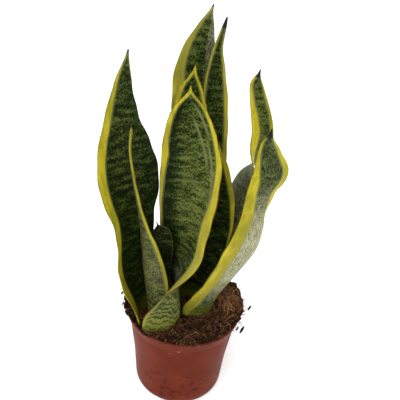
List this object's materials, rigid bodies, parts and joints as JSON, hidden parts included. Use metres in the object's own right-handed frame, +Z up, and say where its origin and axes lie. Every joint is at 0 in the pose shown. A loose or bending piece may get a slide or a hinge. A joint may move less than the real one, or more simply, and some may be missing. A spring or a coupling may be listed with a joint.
{
  "type": "potted snake plant",
  "caption": "Young snake plant with upright channelled leaves, green with yellow margins, in coir soil in a tapered terracotta-coloured nursery pot.",
  "frame": {"origin": "middle of the pot's flat underside", "axes": "+Z up along the pot's axis, -Y towards the front, +X to the right seen from the front"},
  "size_m": [0.1762, 0.1238, 0.4072],
  "materials": {
    "pot_plastic": "satin moulded terracotta-coloured plastic",
    "coir_soil": "loose brown coir and peat with stray fibres",
    "leaf_flesh": "waxy leaf, dark green with grey-green cross-bands and yellow margins"
  },
  "bodies": {
    "root": {"pot": "pot_plastic", "soil": "coir_soil", "leaf_left_tall": "leaf_flesh", "leaf_left_inner": "leaf_flesh", "leaf_front_broad": "leaf_flesh", "leaf_centre": "leaf_flesh", "leaf_back_tallest": "leaf_flesh", "leaf_back_slim": "leaf_flesh", "leaf_right_front": "leaf_flesh", "leaf_right_back": "leaf_flesh", "leaf_small_inner": "leaf_flesh"}
  },
  "joints": []
}
